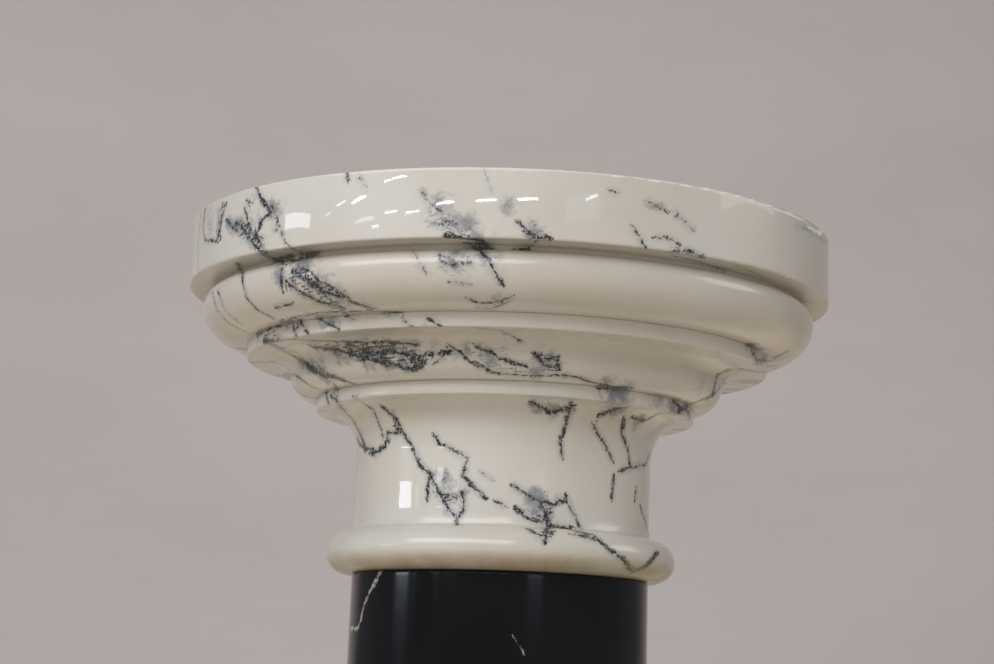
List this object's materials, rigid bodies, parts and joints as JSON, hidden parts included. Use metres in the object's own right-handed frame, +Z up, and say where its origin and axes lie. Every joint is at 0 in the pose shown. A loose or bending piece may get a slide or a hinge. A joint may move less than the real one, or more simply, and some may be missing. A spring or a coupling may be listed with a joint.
{
  "type": "marble pedestal column",
  "caption": "Turned marble pedestal column: white veined capital with a broad round top, polished black shaft, white turned base and square black plinth.",
  "frame": {"origin": "centre of the plinth's underside, on the floor", "axes": "+Z up along the column's axis, -Y to the front, where the picture was taken from, +X to the right"},
  "size_m": [0.29, 0.29, 1.0506],
  "materials": {
    "white_marble": "polished cream-white marble with dark grey veins",
    "black_marble": "polished black marble with a few thin white veins"
  },
  "bodies": {
    "root": {"capital": "white_marble", "shaft": "black_marble", "base": "white_marble", "plinth": "black_marble"}
  },
  "joints": []
}
